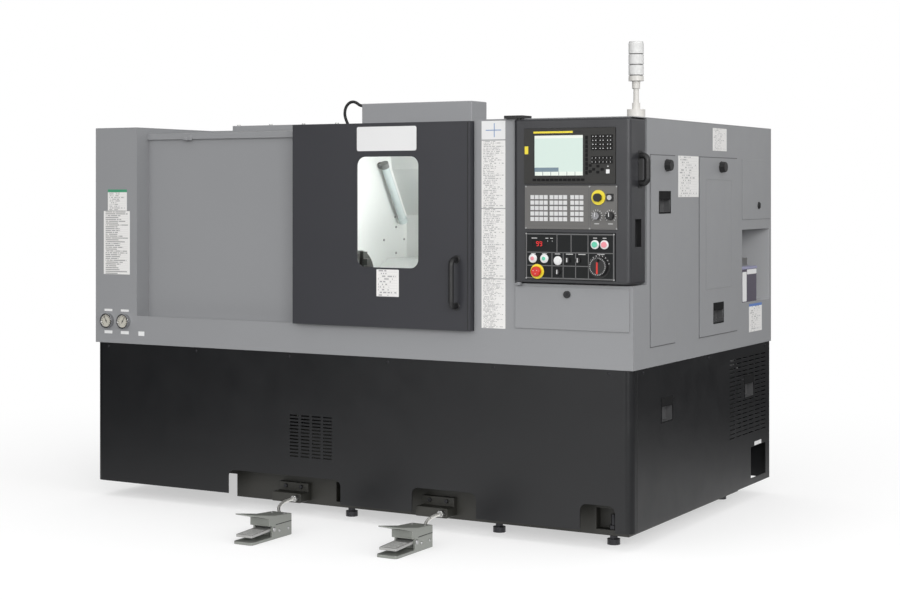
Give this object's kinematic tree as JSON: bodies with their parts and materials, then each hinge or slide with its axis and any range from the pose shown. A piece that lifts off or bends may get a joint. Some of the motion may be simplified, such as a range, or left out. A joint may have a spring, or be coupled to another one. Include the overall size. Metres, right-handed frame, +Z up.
{
  "type": "cnc turning lathe",
  "caption": "Slant-bed turning lathe with a grey sheet-metal guard on a dark skirt, a sliding windowed door, a swivelling control pod, a stack light and foot switches.",
  "frame": {"origin": "on the floor at the middle of the machine's plan box, foot switches included", "axes": "+X from the chuck to the tailstock, the front faces -Y, +Z up"},
  "size_m": [2.716, 2.191, 1.982],
  "materials": {
    "guard_grey": "satin paint",
    "skirt_black": "satin paint",
    "door_black": "satin paint",
    "pod_black": "satin paint",
    "cabin_white": "gloss paint",
    "casting_black": "painted casting",
    "machine_steel": "ground steel",
    "motor_black": "paint",
    "belt_rubber": "matt",
    "window_glass": "clear",
    "lens_clear": "clear ribbed plastic",
    "lamp_white": "frosted",
    "handle_black": "moulded",
    "panel_black": "moulded",
    "display_grey": "moulded",
    "stop_red": "moulded",
    "start_green": "translucent",
    "hold_pink": "translucent",
    "oil_plastic": "translucent",
    "gauge_chrome": "polished",
    "post_white": "moulded",
    "foot_switch_grey": "hammered paint",
    "conduit_steel": "flexible steel",
    "conduit_black": "matt"
  },
  "bodies": {
    "machine": {"bed_casting": "casting_black", "levelling_feet": "machine_steel", "front_skirt": "skirt_black", "right_skirt": "skirt_black", "back_skirts": "skirt_black", "front_guard": "guard_grey", "slide_bay_panel": "guard_grey", "left_guard": "guard_grey", "rear_guard": "guard_grey", "right_guard": "guard_grey", "roof_panel": "guard_grey", "roof_box": "guard_grey", "roof_conduit": "conduit_black", "inner_cabin": "cabin_white", "work_light": "lamp_white", "headstock": "casting_black", "spindle_motor": "motor_black", "drive_belt": "belt_rubber", "chip_pan": "cabin_white", "electrical_cabinet": "guard_grey", "lubricator": "oil_plastic", "pressure_gauges": "gauge_chrome", "stack_light_post": "post_white", "stack_light_lenses": "lens_clear", "pod_hinge": "handle_black", "pedal_brackets": "handle_black", "pedal_cases": "foot_switch_grey", "left_pedal_conduit": "conduit_steel", "right_pedal_conduit": "conduit_steel"},
    "door": {"door_shell": "door_black", "door_window": "window_glass", "door_handle": "handle_black"},
    "spindle": {"spindle": "machine_steel", "chuck_body": "machine_steel"},
    "jaw_1": {"chuck_jaw_1": "machine_steel"},
    "jaw_2": {"chuck_jaw_2": "machine_steel"},
    "jaw_3": {"chuck_jaw_3": "machine_steel"},
    "motor_pulley": {"motor_pulley": "machine_steel"},
    "saddle": {"saddle": "casting_black"},
    "turret_slide": {"turret_slide": "casting_black"},
    "turret_disc": {"turret_disc": "machine_steel"},
    "z_screw": {"z_screw": "machine_steel"},
    "tailstock": {"tailstock_body": "casting_black"},
    "quill": {"tailstock_quill": "machine_steel"},
    "front_cover": {"front_access_cover": "guard_grey"},
    "rear_cover": {"rear_access_cover": "guard_grey"},
    "flap": {"drawer_flap": "guard_grey"},
    "left_treadle": {"left_treadle": "foot_switch_grey"},
    "right_treadle": {"right_treadle": "foot_switch_grey"},
    "pod": {"pod_shell": "pod_black", "pod_handle": "handle_black", "display_unit": "display_grey", "key_panel": "display_grey", "operator_panel": "panel_black"},
    "stop_button": {"emergency_stop": "stop_red"},
    "start_button": {"cycle_start_button": "start_green"},
    "hold_button": {"feed_hold_button": "hold_pink"},
    "handwheel": {"handwheel": "panel_black"},
    "feed_dial": {"feed_override_knob": "handle_black"},
    "spindle_dial": {"spindle_override_knob": "handle_black"}
  },
  "joints": [
    {"name": "door_slide", "type": "slide", "parent": "machine", "child": "door", "axis": [-1, 0, 0], "range_m": [0, 0.82]},
    {"name": "spindle_spin", "type": "hinge", "parent": "machine", "child": "spindle", "pos_m": [0, -0.0575, 1.019], "axis": [1, 0, 0], "continuous": true},
    {"name": "jaw_1_slide", "type": "slide", "parent": "spindle", "child": "jaw_1", "axis": [0, 0, 1], "range_m": [-0.004, 0.004]},
    {"name": "jaw_2_slide", "type": "slide", "parent": "spindle", "child": "jaw_2", "axis": [0, -0.866, -0.5], "range_m": [-0.004, 0.004]},
    {"name": "jaw_3_slide", "type": "slide", "parent": "spindle", "child": "jaw_3", "axis": [0, 0.866, -0.5], "range_m": [-0.004, 0.004]},
    {"name": "motor_spin", "type": "hinge", "parent": "machine", "child": "motor_pulley", "pos_m": [0, 0.0285, 0.23], "axis": [1, 0, 0], "continuous": true},
    {"name": "saddle_slide", "type": "slide", "parent": "machine", "child": "saddle", "axis": [-1, 0, 0], "range_m": [0, 0.34]},
    {"name": "z_screw_spin", "type": "hinge", "parent": "machine", "child": "z_screw", "pos_m": [0, 0.13872, 0.87935], "axis": [1, 0, 0], "range_deg": [-10, 12260]},
    {"name": "turret_cross_slide", "type": "slide", "parent": "saddle", "child": "turret_slide", "axis": [0, -0.7071, -0.7071], "range_m": [0, 0.2]},
    {"name": "turret_index", "type": "hinge", "parent": "turret_slide", "child": "turret_disc", "pos_m": [0, 0.17585, 1.25235], "axis": [1, 0, 0], "continuous": true},
    {"name": "tailstock_slide", "type": "slide", "parent": "machine", "child": "tailstock", "axis": [1, 0, 0], "range_m": [0, 0.12]},
    {"name": "quill_slide", "type": "slide", "parent": "tailstock", "child": "quill", "axis": [-1, 0, 0], "range_m": [0, 0.08]},
    {"name": "front_cover_lift_off", "type": "slide", "parent": "machine", "child": "front_cover", "axis": [1, 0, 0], "range_m": [0, 0.3]},
    {"name": "rear_cover_lift_off", "type": "slide", "parent": "machine", "child": "rear_cover", "axis": [1, 0, 0], "range_m": [0, 0.3]},
    {"name": "flap_hinge", "type": "hinge", "parent": "machine", "child": "flap", "pos_m": [0, -0.4965, 0.848], "axis": [1, 0, 0], "range_deg": [0, 100]},
    {"name": "left_treadle_press", "type": "hinge", "parent": "machine", "child": "left_treadle", "pos_m": [0, -0.9435, 0.04], "axis": [1, 0, 0], "range_deg": [0, 6], "stiffness_Nm_per_rad": 12, "springref_deg": -11.46},
    {"name": "right_treadle_press", "type": "hinge", "parent": "machine", "child": "right_treadle", "pos_m": [0, -0.8795, 0.04], "axis": [1, 0, 0], "range_deg": [0, 6], "stiffness_Nm_per_rad": 12, "springref_deg": -11.46},
    {"name": "pod_swivel", "type": "hinge", "parent": "machine", "child": "pod", "pos_m": [0.831, -0.5015, 0], "axis": [0, 0, -1], "range_deg": [0, 80]},
    {"name": "stop_press", "type": "slide", "parent": "pod", "child": "stop_button", "axis": [0, 1, 0], "range_m": [0, 0.004], "stiffness_N_per_m": 2000},
    {"name": "start_press", "type": "slide", "parent": "pod", "child": "start_button", "axis": [0, 1, 0], "range_m": [0, 0.004], "stiffness_N_per_m": 800},
    {"name": "hold_press", "type": "slide", "parent": "pod", "child": "hold_button", "axis": [0, 1, 0], "range_m": [0, 0.004], "stiffness_N_per_m": 800},
    {"name": "handwheel_spin", "type": "hinge", "parent": "pod", "child": "handwheel", "pos_m": [1.191, 0, 1.101], "axis": [0, 1, 0], "continuous": true},
    {"name": "feed_dial_turn", "type": "hinge", "parent": "pod", "child": "feed_dial", "pos_m": [1.179, 0, 1.296], "axis": [0, 1, 0], "range_deg": [-135, 135]},
    {"name": "spindle_dial_turn", "type": "hinge", "parent": "pod", "child": "spindle_dial", "pos_m": [1.237, 0, 1.296], "axis": [0, 1, 0], "range_deg": [-135, 135]}
  ],
  "couplings": [
    {"joint": "jaw_2_slide", "follows": "jaw_1_slide", "ratio": 1},
    {"joint": "jaw_3_slide", "follows": "jaw_1_slide", "ratio": 1},
    {"joint": "motor_spin", "follows": "spindle_spin", "ratio": 1.375},
    {"joint": "z_screw_spin", "follows": "saddle_slide", "rad_per_m": 628.32}
  ]
}
